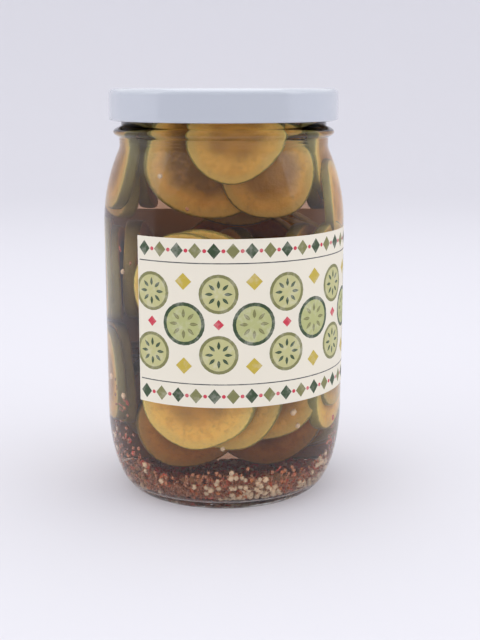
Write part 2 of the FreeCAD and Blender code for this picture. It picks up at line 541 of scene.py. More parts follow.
def lathe(outline, segments):
    """Vertices and faces of an outline turned about Z; ends on the axis are closed."""
    vertices = []
    rings = []
    for radius, height in outline:
        if radius < ON_AXIS:
            rings.append([len(vertices)])
            vertices.append((0, 0, height))
            continue
        rings.append(list(range(len(vertices), len(vertices) + segments)))
        for i in range(segments):
            a = TURN * i / segments
            vertices.append((radius * math.cos(a), radius * math.sin(a), height))
    faces = []
    for low, high in zip(rings, rings[1:]):
        for i in range(segments):
            j = (i + 1) % segments
            if len(low) == 1:
                faces.append((low[0], high[j], high[i]))
            elif len(high) == 1:
                faces.append((low[i], low[j], high[0]))
            else:
                faces.append((low[i], low[j], high[j], high[i]))
    return vertices, faces


# --- glass, lid and brine --------------------------------------------------

LATHE_SEGMENTS = 192
NECK_LINES = (0.3 * MM, 1.5 * MM)
NECK_LINE_PROUD = 0.16 * MM


def outside_outline(glass):
    """The jar's outside from its rim down to the middle of its underside."""
    rim = GLASS_HIGH.z
    finish = glass.finish_radius
    neck = finish - glass.neck_inset
    groove = finish - glass.groove_depth
    bead_bottom = neck_start(glass) + glass.neck_rise
    bead_top = bead_bottom + glass.bead_height
    groove_top = bead_top + glass.groove_height
    edge = glass.bearing_radius - glass.bearing_width
    bead = bow(
        (neck, bead_bottom),
        (finish + glass.bead_proud, bead_bottom + glass.bead_height / 2),
        (groove, bead_top),
        12,
    )
    up = crown(edge, 0, glass.push_up, 8)
    up += heel(glass.bearing_radius, 0, glass.body_radius, glass.heel_height, OUTSIDE_HEEL_STEPS)
    up += shoulder(glass, 0, SHOULDER_STEPS)
    for line in NECK_LINES:
        height = neck_start(glass) + line
        for step, proud in enumerate((0, 1, 1, 0)):
            up.append((neck + proud * NECK_LINE_PROUD, height + step * NECK_LINE_PROUD))
    up += bead
    up += [(groove, groove_top), (finish, groove_top + glass.finish_slope)]
    up += arc((finish - glass.rim_round, rim - glass.rim_round), glass.rim_round, 0, math.pi / 2, 6)
    return up[::-1]


class JAR_OT_glass(bpy.types.Operator):
    """Turn the clear glass jar, with its heel, shoulder, bead and finish"""

    bl_idname = "jar.make_glass"
    bl_label = "Glass jar"

    def execute(self, context):
        glass = context.scene.jar_glass
        inside = cavity(glass, glass.wall, GLASS_HIGH.z)
        vertices, faces = lathe(inside + outside_outline(glass), LATHE_SEGMENTS)
        piece = new_piece("jar_wall", vertices, faces, glass_material(glass))
        join_frame(piece, "clear_glass", "jar_glass")
        return {"FINISHED"}


class JAR_OT_lid(bpy.types.Operator):
    """Enamel the screw lid"""

    bl_idname = "jar.finish_lid"
    bl_label = "Lid"

    def execute(self, context):
        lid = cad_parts["lid"]
        lid.data.materials.clear()
        lid.data.materials.append(enamel_material(context.scene.jar_lid))
        return {"FINISHED"}


class JAR_OT_brine(bpy.types.Operator):
    """Fill the jar with brine, out into the wall so that no air gap shows"""

    bl_idname = "jar.make_brine"
    bl_label = "Brine"

    def execute(self, context):
        glass = context.scene.jar_glass
        content = context.scene.jar_content
        outline = cavity(glass, glass.wall - content.into_wall, BRINE_HIGH.z)
        outline.append((0, BRINE_HIGH.z))
        vertices, faces = lathe(outline, LATHE_SEGMENTS)
        piece = new_piece("brine_fill", vertices, faces, brine_material(content))
        join_frame(piece, "brine", "brine")
        return {"FINISHED"}


# --- slices ----------------------------------------------------------------

SLICE_SEGMENTS = 48
SLICE_RINGS = (0.0, 0.12, 0.24, 0.36, 0.48, 0.6, 0.7, 0.79, 0.87, 0.93, 0.97)
SLICE_EDGE = ((0.992, 0.42), (1.0, 0.25), (1.004, 0.0))
SLICE_SWELLS = np.array([0.045, 0.028, 0.016, 0.01, 0.008])
SLICE_WARP = 0.09
SLICE_GAP = 0.4 * MM
PRESSED_DEPTH = 5 * MM
SETTLE_TRIES = 12
SETTLED = 0.05 * MM


class Slice:
    """One pickled slice: where it hangs in the brine, which way it faces and how it is cut."""

    def __init__(self, bearing, aside, reach, height, size=1.0, lean=0.0, roll=0.0, tone=0.5, hollow=0.3):
        """The bearing is the way it faces, in degrees from -Y towards +X; lengths are in millimetres."""
        self.bearing = math.radians(bearing)
        self.aside = aside * MM
        self.reach = reach * MM
        self.height = height * MM
        self.size = size
        self.lean = math.radians(lean)
        self.roll = math.radians(roll)
        self.tone = tone
        # hollow: how much painted shade darkens and widens the core.
        self.hollow = hollow

    def matrix(self):
        """Stand it up, turn it to its bearing and move it there."""
        turn = Matrix.Rotation(self.bearing, 4, "Z")
        upright = Matrix.Rotation(math.pi / 2 + self.lean, 4, "X")
        spin = Matrix.Rotation(self.roll, 4, "Z")
        place = turn @ Vector((self.aside, -self.reach, self.height))
        return Matrix.Translation(place) @ turn @ upright @ spin


def slice_shape(random, radius, thickness):
    """Vertices, faces and surface values of one uneven round slice lying flat."""
    phases = random.uniform(0, TURN, len(SLICE_SWELLS))
    swells = random.uniform(-1, 1, len(SLICE_SWELLS)) * SLICE_SWELLS
    warp = random.uniform(-SLICE_WARP, SLICE_WARP, 2)
    lobe_count = random.integers(3, 5)
    lobe_phase = random.uniform(0, TURN)
    angles = np.linspace(0, TURN, SLICE_SEGMENTS, endpoint=False)
    edge = 1 + sum(s * np.cos((k + 2) * angles + p) for k, (s, p) in enumerate(zip(swells, phases)))
    profile = [(f, 0.5) for f in SLICE_RINGS] + list(SLICE_EDGE)
    profile += [(f, -h) for f, h in reversed(profile[:-1])]
    vertices = []
    across = []
    lobes = []
    for fraction, level in profile:
        count = 1 if fraction == 0 else SLICE_SEGMENTS
        for i in range(count):
            a = angles[i]
            r = fraction * radius * edge[i]
            x, y = r * math.cos(a), r * math.sin(a)
            lobe = math.cos(lobe_count * (a - lobe_phase)) * 0.5 + 0.5
            hollow = math.exp(-(((fraction - 0.42) / 0.17) ** 2)) * lobe
            sink = (hollow * 0.08 + 0.05 * math.exp(-((fraction / 0.55) ** 4))) * (2 * level)
            bend = warp[0] * (x * x - y * y) / radius + warp[1] * x * y / radius
            vertices.append((x, y, thickness * (level - sink) + bend))
            across.append(fraction)
            lobes.append(hollow)
    return vertices, slice_faces(profile), across, lobes


def slice_faces(profile):
    """Faces between the rings of a slice's profile, closed at both middles."""
    faces = []
    start = 0
    for (low, _), (high, _) in zip(profile, profile[1:]):
        size = 1 if low == 0 else SLICE_SEGMENTS
        for i in range(SLICE_SEGMENTS):
            j = (i + 1) % SLICE_SEGMENTS
            above = start + size
            if low == 0:
                faces.append((start, above + i, above + j))
            elif high == 0:
                faces.append((start + j, start + i, above))
            else:
                faces.append((start + j, start + i, above + i, above + j))
        start += size
    return faces


def press(points, start, limit):
    """Squash what stands above a height, so that it ends at the limit."""
    top = max(p.z for p in points)
    if top <= limit:
        return points
    share = (limit - start) / (top - start)
    return [Vector((p.x, p.y, start + (p.z - start) * share)) if p.z > start else p for p in points]


def settle(piece, shape, wall_at):
    """The slice's points where it comes to rest: pressed under the lid, clear of the glass."""
    limit = BRINE_HIGH.z - SLICE_GAP
    for _ in range(SETTLE_TRIES):
        matrix = piece.matrix()
        points = press([matrix @ Vector(p) for p in shape], limit - PRESSED_DEPTH, limit)
        far = max(points[::3], key=lambda p: math.hypot(p.x, p.y) - wall_at(p.z))
        out = math.hypot(far.x, far.y) - wall_at(far.z)
        if out < SETTLED:
            break
        inward = Matrix.Rotation(-piece.bearing, 2) @ Vector((far.x, far.y)).normalized()
        piece.aside -= out * inward.x
        piece.reach += out * inward.y
    return points


def stack(random, bearing, height, reaches, size):
    """Slices that lie against each other, facing the same way."""
    slices = []
    for reach in reaches:
        turn, shift, lift, growth, tilt = random.uniform(-1, 1, 5)
        slices.append(
            Slice(
                bearing + 1.5 * turn,
                5 * shift,
                reach,
                height + 3 * lift,
                size + 0.07 * growth,
                lean=-1 + 2 * tilt,
                roll=random.uniform(0, 360),
                tone=random.uniform(1.0, 1.6),
                # painted shade in the core, at a random strength
                hollow=random.uniform(0.1, 0.7),
            )
        )
    return slices


def arranged_slices():
    """The slices seen from the front one by one, and the rest in stacks round the jar."""
    slices = [
        # hollow sets the painted shade in a slice's core; slices lying further in, behind others, get
        # more.
        Slice(1, 8.5, 36.5, 143.5, 0.76, lean=-3, roll=110, tone=0.7, hollow=0.0),
        Slice(4, 20, 28.5, 129.5, 0.73, lean=-1, roll=130, tone=0.7, hollow=0.3),
        Slice(4, -6, 21, 137, 1.04, lean=0, roll=70, tone=0.95, hollow=0.75),
        Slice(2, 4, 14.5, 132, 0.98, lean=0, roll=130, tone=0.4, hollow=0.8),
        Slice(-92, -3, 38, 133, 0.86, lean=-3, roll=200, tone=0.7),
        Slice(-94, -5, 31.5, 131, 0.9, lean=-2, roll=230, tone=1.3),
        Slice(-98, -3, 24, 134, 0.9, lean=-1, roll=250, tone=1.5),
        Slice(90, -8, 42, 118, 0.62, lean=-5, roll=10, tone=1.3, hollow=0.0),
        Slice(90, 2, 35.5, 136, 0.85, lean=-3, roll=35, tone=1.5),
        Slice(92, 0, 29, 134, 0.88, lean=-1, roll=80, tone=1.5),
        Slice(-13, -3, 40, 46.5, 0.93, lean=2, roll=40, tone=1.3, hollow=0.0),
        Slice(-9, 6.5, 33.2, 46, 0.9, lean=1, roll=260, tone=0.65, hollow=0.3),
        Slice(0, 15.5, 26.5, 47, 0.9, lean=1, roll=300, tone=0.7, hollow=0.4),
        Slice(0, -6, 20, 48, 0.95, lean=1, roll=300, tone=0.5),
        Slice(0, -11, 6, 30, 0.78, lean=0, roll=60, tone=1.3, hollow=0.4),
        Slice(0, 13, -1, 30, 0.8, lean=0, roll=190, tone=1.3, hollow=0.4),
        Slice(78, -2, 42, 52, 0.72, lean=4, roll=120, tone=0.6),
        Slice(84, -6, 36, 46, 0.85, lean=2, roll=150, tone=1.5),
        Slice(-92, -4, 38, 46, 0.86, lean=4, roll=310, tone=0.9),
        Slice(-94, -6, 31, 46, 0.88, lean=2, roll=340, tone=1.5),
    ]
    random = np.random.default_rng(41)
    for height, bearings, core, size in (
        (32, (146, 207), (), 0.9),
        (89, (-108, -18, 72, 162), (6, -2), 0.88),
        (133, (180,), (6, -2), 0.93),
    ):
        for bearing in bearings:
            slices += stack(random, bearing, height, (39.5, 33, 26.5), size)
        slices += stack(random, bearings[0] + 45, height, core, size)
    return slices


class JAR_OT_slices(bpy.types.Operator):
    """Cut the pickled slices and settle them against the glass"""

    bl_idname = "jar.make_slices"
    bl_label = "Slices"

    def execute(self, context):
        glass = context.scene.jar_glass
        content = context.scene.jar_content
        heights, radii = wall_inside(glass, glass.wall + SLICE_GAP)

        def wall_at(height):
            return float(np.interp(height, heights, radii))

        random = np.random.default_rng(7)
        vertices = []
        faces = []
        values = {"across": [], "lobes": [], "tone": [], "hollow": []}
        for piece in arranged_slices():
            radius = content.slice_radius * piece.size
            thickness = content.slice_thickness * random.uniform(0.85, 1.15)
            shape, sides, across, lobes = slice_shape(random, radius, thickness)
            base = len(vertices)
            vertices += settle(piece, shape, wall_at)
            faces += [tuple(base + i for i in side) for side in sides]
            values["across"] += across
            values["lobes"] += lobes
            values["tone"] += [piece.tone] * len(shape)
            # hollow carries the painted shade of each slice's core to the material
            values["hollow"] += [piece.hollow] * len(shape)
        piece = new_piece("pickle_slices", vertices, faces, slice_material(content))
        for name, numbers in values.items():
            layer = piece.data.attributes.new(name, "FLOAT", "POINT")
            layer.data.foreach_set("value", numbers)
        join_frame(piece, "pickle_flesh")
        return {"FINISHED"}


# --- spices ----------------------------------------------------------------

BED_BEARINGS = 96
BED_LEVELS = 12
BED_FLOOR_RINGS = 6
BED_STRAY_LEVELS = 16
BED_CLEARANCE = 1.3 * MM
FLOOR_SHARE = 0.9
FULL_HEIGHT = 17 * MM
THINNING = 2.5
STRAY_SHARE = 0.006
BED_ATTRIBUTE = "share"
DRIFTS = ((-66, 13, 42), (74, 12, 22))
SMOOTH_BELOW = 0.1
CHIP_CORNERS = 6
CHIP_HALF = 0.05
CHIP_CURL = 0.5


def bed_top(bearing):
    """How high the settled spices reach up the wall, in a direction from -Y. Each drift
    has its bearing and width in degrees, and its height in millimetres."""
    wave = math.sin(3 * bearing + 0.6) + 0.6 * math.sin(7 * bearing + 2.0)
    height = 11 + 6.5 * math.cos(bearing) + 1.3 * wave
    for place, width, rise in DRIFTS:
        height += rise * math.exp(-(((bearing - math.radians(place)) / math.radians(width)) ** 2))
    return height * MM


def bed_column(glass, bearing, heights, radii):
    """Radius, height and share of spice down one bearing of the bed, from the middle outwards."""
    floor_radius, floor = radii[0], heights[0]
    top = bed_top(bearing)
    for j in range(BED_FLOOR_RINGS):
        radius = floor_radius * (j + 0.5) / BED_FLOOR_RINGS
        mound = 1.5 * MM + 2 * MM * math.sin(3 * bearing + 9 * radius / floor_radius)
        yield radius, floor + mound, FLOOR_SHARE
    for j in range(BED_LEVELS):
        t = j / (BED_LEVELS - 1)
        height = floor + (top - floor) * t
        share = min(1.0, FULL_HEIGHT / top) * (1 - t**THINNING)
        yield float(np.interp(height, heights, radii)), height, share
    for j in range(BED_STRAY_LEVELS):
        height = top + (neck_start(glass) - top) * (j + 1) / BED_STRAY_LEVELS
        yield float(np.interp(height, heights, radii)), height, STRAY_SHARE


def spice_bed(glass):
    """A dish just inside the glass, over the floor and up the wall, with how thickly it is strewn."""
    heights, radii = wall_inside(glass, glass.wall + BED_CLEARANCE)
    vertices = []
    shares = []
    for i in range(BED_BEARINGS):
        bearing = TURN * i / BED_BEARINGS - math.pi
        for radius, height, share in bed_column(glass, bearing, heights, radii):
            vertices.append((radius * math.sin(bearing), -radius * math.cos(bearing), height))
            shares.append(share)
    count = BED_FLOOR_RINGS + BED_LEVELS + BED_STRAY_LEVELS
    faces = []
    for i in range(BED_BEARINGS):
        here, there = i * count, (i + 1) % BED_BEARINGS * count
        faces += [(here + j, there + j, there + j + 1, here + j + 1) for j in range(count - 1)]
    return vertices, faces, shares


class Geometry:
    """A Geometry Nodes tree under construction."""

    def __init__(self, name):
        self.tree = bpy.data.node_groups.new(name, "GeometryNodeTree")
        self.tree.interface.new_socket("Geometry", in_out="INPUT", socket_type="NodeSocketGeometry")
        self.tree.interface.new_socket("Geometry", in_out="OUTPUT", socket_type="NodeSocketGeometry")
        self.inlet = self.tree.nodes.new("NodeGroupInput")
        self.identifiers = {}

    def size(self, name, kind="NodeSocketFloat"):
        """A named input of the tree."""
        socket = self.tree.interface.new_socket(name, in_out="INPUT", socket_type=kind)
        self.identifiers[name] = socket.identifier
        return self.inlet.outputs[name]

    def add(self, kind, settings=None, values=None, output=0):
        """Add a node, and give one of its outputs."""
        return add_node(self.tree, kind, settings, values).outputs[output]

    def maths(self, operation, first, second):
        return self.add("ShaderNodeMath", {"operation": operation}, {0: first, 1: second})

    def chance(self, low, high, seed):
        """A number drawn by chance for each point or grain."""
        settings = {"data_type": "FLOAT"}
        values = {2: low, 3: high, "Seed": seed}
        return self.add("FunctionNodeRandomValue", settings, values, output=1)

    def finish(self, geometry, material):
        real = self.add("GeometryNodeRealizeInstances", None, {0: geometry})
        painted = self.add("GeometryNodeSetMaterial", None, {"Geometry": real, "Material": material})
        outlet = self.tree.nodes.new("NodeGroupOutput")
        self.tree.links.new(painted, outlet.inputs[0])


def grain_tree(name, shape, material):
    """Strew copies of a small shape over the bed, in clusters, each turned and sized by chance."""
    tree = Geometry(name)
    size = tree.size("Grain size")
    density = tree.size("Density")
    cluster = tree.size("Cluster scale")
    bare = tree.size("Bare share")
    depth = tree.size("Depth")
    settling = tree.size("Settling")
    seed = tree.size("Seed", "NodeSocketInt")
    share = tree.add("GeometryNodeInputNamedAttribute", {"data_type": "FLOAT"}, {"Name": BED_ATTRIBUTE})
    share = tree.maths("POWER", share, settling)
    patches = tree.add("ShaderNodeTexNoise", None, {"Scale": cluster, "Detail": 1.0})
    kept = tree.add("ShaderNodeMapRange", None, {0: patches, 1: bare, 2: 0.62})
    strewn = tree.maths("MULTIPLY", tree.maths("MULTIPLY", share, kept), density)
    values = {"Mesh": tree.inlet.outputs["Geometry"], "Density": strewn, "Seed": seed}
    spots = tree.add("GeometryNodeDistributePointsOnFaces", None, values)
    where = tree.add("GeometryNodeInputPosition")
    inward = tree.add("ShaderNodeVectorMath", {"operation": "MULTIPLY"}, {0: where, 1: (-1, -1, 0)})
    inward = tree.add("ShaderNodeVectorMath", {"operation": "NORMALIZE"}, {0: inward})
    step = tree.chance(0.0, depth, seed)
    offset = tree.add("ShaderNodeVectorMath", {"operation": "SCALE"}, {0: inward, "Scale": step})
    spots = tree.add("GeometryNodeSetPosition", None, {"Geometry": spots, "Offset": offset})
    turn = {"data_type": "FLOAT_VECTOR"}
    spin = tree.add("FunctionNodeRandomValue", turn, {1: (TURN, TURN, TURN), "Seed": seed})
    spread = tree.maths("MULTIPLY", tree.chance(0.7, 1.2, seed), size)
    model = tree.add("GeometryNodeObjectInfo", None, {"Object": shape}, output="Geometry")
    values = {"Points": spots, "Instance": model, "Rotation": spin, "Scale": spread}
    grains = tree.add("GeometryNodeInstanceOnPoints", None, values)
    settings = {"data_type": "FLOAT", "domain": "INSTANCE"}
    values = {0: grains, "Name": "grain", "Value": tree.chance(0.0, 1.0, seed)}
    grains = tree.add("GeometryNodeStoreNamedAttribute", settings, values)
    tree.finish(grains, material)
    return tree


def lump(name, random, wobble, stretch):
    """A small uneven round shape, one metre across before it is strewn."""
    ball = bmesh.new()
    bmesh.ops.create_icosphere(ball, subdivisions=1, radius=0.5)
    for vertex in ball.verts:
        vertex.co *= 1 + random.uniform(-wobble, wobble)
        vertex.co = Vector(c * s for c, s in zip(vertex.co, stretch))
    mesh = bpy.data.meshes.new(name)
    ball.to_mesh(mesh)
    ball.free()
    for polygon in mesh.polygons:
        polygon.use_smooth = wobble < SMOOTH_BELOW
    return bpy.data.objects.new(name, mesh)


def flake(name, random):
    """A crooked chip of dried pepper, one metre long before it is strewn."""
    outline = []
    for i in range(CHIP_CORNERS):
        a = TURN * i / CHIP_CORNERS
        reach = random.uniform(0.32, 0.5)
        outline.append((reach * math.cos(a), 0.7 * reach * math.sin(a)))
    curl = [CHIP_CURL * x * x - CHIP_HALF for x, _ in outline]
    vertices = [(x, y, z + CHIP_HALF) for (x, y), z in zip(outline, curl)]
    vertices += [(x, y, z - CHIP_HALF) for (x, y), z in zip(outline, curl)]
    vertices += [(0, 0, 0.02), (0, 0, -0.09)]
    top, bottom = 2 * CHIP_CORNERS, 2 * CHIP_CORNERS + 1
    faces = []
    for i in range(CHIP_CORNERS):
        j = (i + 1) % CHIP_CORNERS
        under_i, under_j = CHIP_CORNERS + i, CHIP_CORNERS + j
        faces += [(i, j, top), (under_j, under_i, bottom), (j, i, under_i, under_j)]
    mesh = bpy.data.meshes.new(name)
    mesh.from_pydata(vertices, [], faces)
    return bpy.data.objects.new(name, mesh)


class JAR_OT_spices(bpy.types.Operator):
    """Strew mustard seeds, pepper flakes and spice grains on the floor and up the wall"""

    bl_idname = "jar.make_spices"
    bl_label = "Spices"

    def execute(self, context):
        content = context.scene.jar_content
        random = np.random.default_rng(19)
        bed = spice_bed(context.scene.jar_glass)
        seed = lump("seed_shape", random, 0.03, (1.0, 0.94, 0.9))
        chip = flake("flake_shape", random)
        crumb = lump("grain_shape", random, 0.22, (1.0, 0.75, 0.6))
        pale = tuple(0.55 * c for c in content.seed_colour)
        amber = (0.50, 0.20, 0.05)
        brown = tuple(0.3 * c for c in content.grain_colour)
        for name, shape, finish, sizes in (
            (
                "mustard_seeds",
                seed,
                grain_material("Mustard seed", content.seed_colour, pale, 0.42),
                {"Grain size": 2.8 * MM, "Density": 2.6e5, "Cluster scale": 75.0, "Bare share": 0.46,
                 "Depth": 1.6 * MM, "Settling": 1.0, "Seed": 3},
            ),
            (
                "pepper_flakes",
                chip,
                grain_material("Red pepper flake", content.flake_colour, amber, 0.38),
                {"Grain size": 3.2 * MM, "Density": 3.0e5, "Cluster scale": 90.0, "Bare share": 0.30,
                 "Depth": 3.5 * MM, "Settling": 1.3, "Seed": 5},
            ),
            (
                "spice_grains",
                crumb,
                grain_material("Brown spice", content.grain_colour, brown, 0.6),
                {"Grain size": 1.9 * MM, "Density": 1.0e6, "Cluster scale": 60.0, "Bare share": 0.10,
                 "Depth": 3.5 * MM, "Settling": 1.6, "Seed": 9},
            ),
        ):
            join_frame(self.strew(context, name, bed, shape, finish, sizes), "spice")
        for shape in (seed, chip, crumb):
            bpy.data.objects.remove(shape)
        return {"FINISHED"}

    def strew(self, context, name, bed, shape, finish, sizes):
        """Run the nodes on a copy of the bed and keep the grains as a plain mesh."""
        vertices, faces, shares = bed
        piece = new_piece(name, vertices, faces, finish)
        layer = piece.data.attributes.new(BED_ATTRIBUTE, "FLOAT", "POINT")
        layer.data.foreach_set("value", shares)
        tree = grain_tree(name + "_nodes", shape, finish)
        strewing = piece.modifiers.new("Strewing", "NODES")
        strewing.node_group = tree.tree
        for key, value in sizes.items():
            strewing[tree.identifiers[key]] = value
        depsgraph = context.evaluated_depsgraph_get()
        mesh = bpy.data.meshes.new_from_object(piece.evaluated_get(depsgraph))
        piece.modifiers.remove(strewing)
        piece.data = mesh
        if not mesh.polygons:
            raise RuntimeError(f"{name} came out empty")
        return piece


# --- label -----------------------------------------------------------------

SUNK = 0.05 * MM
PAPER_STEPS = 240
PAPER_CREASE = math.radians(40)
COLUMN = 1.2 * MM
LAYER = 0.0075 * MM
INK_THICKNESS = 0.004 * MM

# The print's sizes are in millimetres on the sheet.
CUT_EDGE = 0.2
STOP_GAP = 1e-3
SAME_PLACE = 1e-6
UPRIGHT = 1e-9
DIAMOND_PITCH = 7.0
DIAMOND_ROW = 4.4
FIELD_PITCH = 13.0
ROSETTE_SEEDS = 8
SEED_WIDTH = 0.4
RIB_WIDTH = 0.12
BOX_FOOT = 12
BOX_HEIGHT = 40
FRAME_REACH = (104.0, 156.0)
FAR_REACH = (196.0, 238.0)


def label_face(label):
    """Radius of the paper's outer face."""
    return LABEL_RADIUS + label.thickness


def strip_faces(base, steps):
    """Faces of a closed strip with four corners a section, from its first vertex on."""
    last = base + 4 * steps
    faces = [tuple(base + k for k in range(4)), tuple(last + k for k in (3, 2, 1, 0))]
    for i in range(base, last, 4):
        for k in range(4):
            n = (k + 1) % 4
            faces.append((i + k, i + 4 + k, i + 4 + n, i + n))
    return faces


class JAR_OT_label(bpy.types.Operator):
    """Wrap the paper label round the body"""

    bl_idname = "jar.make_label"
    bl_label = "Label"

    def execute(self, context):
        label = context.scene.jar_label
        inner, outer = LABEL_RADIUS - SUNK, label_face(label)
        low, high = LABEL_LOW.z, LABEL_HIGH.z
        section = ((inner, low), (outer, low), (outer, high), (inner, high))
        vertices = []
        for i in range(PAPER_STEPS + 1):
            a = label.start + label.span * i / PAPER_STEPS
            vertices += [(r * math.cos(a), r * math.sin(a), z) for r, z in section]
        faces = strip_faces(0, PAPER_STEPS)
        piece = new_piece("label_paper", vertices, faces, paper_material(label))
        piece.data.set_sharp_from_angle(angle=PAPER_CREASE)
        join_frame(piece, "label_paper", "label")
        return {"FINISHED"}


class Print:
    """Inked shapes on the label, laid out in millimetres from its lower start corner."""

    def __init__(self, label):
        self.label = label
        self.length = label.span * LABEL_RADIUS / MM
        self.height = (LABEL_HIGH.z - LABEL_LOW.z) / MM
        self.vertices = []
        self.faces = []
        self.inks = []
        self.random = np.random.default_rng(23)

    def point(self, u, v, lift):
        a = self.label.start + u * MM / LABEL_RADIUS
        radius = label_face(self.label) + lift
        return (radius * math.cos(a), radius * math.sin(a), LABEL_LOW.z + v * MM)

    def shape(self, outline, ink, layer=1):
        """A filled shape with a convex outline, cut into upright columns so that it wraps."""
        low_u = max(min(u for u, _ in outline), CUT_EDGE)
        high_u = min(max(u for u, _ in outline), self.length - CUT_EDGE)
        if high_u - low_u < CUT_EDGE:
            return
        count = max(1, math.ceil((high_u - low_u) * MM / COLUMN))
        even = {low_u + (high_u - low_u) * i / count for i in range(count + 1)}
        corners = {u for u, _ in outline}
        stops = [u for u in sorted(corners | even) if low_u <= u <= high_u]
        stops = [u for i, u in enumerate(stops) if i == 0 or u - stops[i - 1] > STOP_GAP]
        lift = layer * LAYER
        base = len(self.vertices)
        for u in stops:
            low, high = column(outline, min(max(u, low_u), high_u))
            for v, rise in ((low, 0), (high, 0), (high, INK_THICKNESS), (low, INK_THICKNESS)):
                self.vertices.append(self.point(u, v, lift + rise))
                self.inks.append((*ink, 1.0))
        self.faces += strip_faces(base, len(stops) - 1)

    def bar(self, u, v, width, height, ink, layer=1):
        corners = [(u, v), (u + width, v), (u + width, v + height), (u, v + height)]
        self.shape(corners, ink, layer)

    def round(self, u, v, radius, ink, layer=1):
        count = 24 if radius > 2 else 12
        turns = [TURN * i / count for i in range(count)]
        self.shape([(u + radius * math.cos(a), v + radius * math.sin(a)) for a in turns], ink, layer)

    def line(self, start, end, width, ink, layer):
        du, dv = end[0] - start[0], end[1] - start[1]
        size = math.hypot(du, dv)
        side = (-dv / size * width / 2, du / size * width / 2)
        corners = ((start, 1), (end, 1), (end, -1), (start, -1))
        self.shape([(p[0] + s * side[0], p[1] + s * side[1]) for p, s in corners], ink, layer)

    def seed(self, u, v, size, turn, ink, layer):
        """A slim seed that points away from where it grows, with a paler rib."""
        outline = []
        for along, across in ((0, 0), (0.2, 0.75), (0.45, 1), (0.75, 0.62), (1, 0)):
            outline.append((size * along, size * SEED_WIDTH / 2 * across))
        outline += [(x, -y) for x, y in outline[-2:0:-1]]
        c, s = math.cos(turn), math.sin(turn)
        self.shape([(u + x * c - y * s, v + x * s + y * c) for x, y in outline], ink, layer)
        rib = tuple(min(1, 1.5 * i + 0.08) for i in ink)
        self.line((u, v), (u + 0.8 * size * c, v + 0.8 * size * s), RIB_WIDTH, rib, layer + 1)

    def diamond(self, u, v, half_width, half_height, ink):
        corners = [(u - half_width, v), (u, v - half_height), (u + half_width, v), (u, v + half_height)]
        self.shape(corners, ink)

    def rosette(self, u, v, radius, rim, flesh, seeds):
        """A cut round fruit: a rim, flesh, and seeds like spokes."""
        self.round(u, v, radius, rim, 1)
        self.round(u, v, 0.84 * radius, flesh, 2)
        for i in range(ROSETTE_SEEDS):
            a = TURN * i / ROSETTE_SEEDS
            spot = (u + 0.28 * radius * math.cos(a), v + 0.28 * radius * math.sin(a))
            self.seed(*spot, 0.42 * radius, a, seeds, 3)

    def rules(self, u, v, width, height, pitch, ink):
        """Rows of short bars."""
        row = v + height
        while row > v:
            reach = u
            while reach < u + width - 1:
                step = min(self.random.uniform(1.6, 4.5), u + width - reach)
                self.bar(reach, row, step - 0.5, 0.38, ink, 6)
                reach += step
            row -= pitch

    def panel(self, u, v, width, height, heading):
        """A box of rules under a heavier heading bar."""
        label = self.label
        edge = 0.45
        self.bar(u, v, width, height, label.slate, 4)
        self.bar(u + edge, v + edge, width - 2 * edge, height - 2 * edge, label.panel_ground, 5)
        self.rules(u + 1.4, v + 1.2, width - 2.8, height - 4.4 - heading, 1.25, label.panel_rule)
        self.bar(u + 1.4, v + height - 1.4 - heading, width - 4.5, heading, label.slate, 6)


def column(outline, u):
    """The lowest and highest place of a convex outline on an upright line."""
    hits = []
    for (u0, v0), (u1, v1) in zip(outline, outline[1:] + outline[:1]):
        if min(u0, u1) - SAME_PLACE <= u <= max(u0, u1) + SAME_PLACE:
            upright = abs(u1 - u0) < UPRIGHT
            t = 0 if upright else min(max((u - u0) / (u1 - u0), 0), 1)
            hits.append(v0 + (v1 - v0) * t)
            if upright:
                hits.append(v1)
    return min(hits), max(hits)


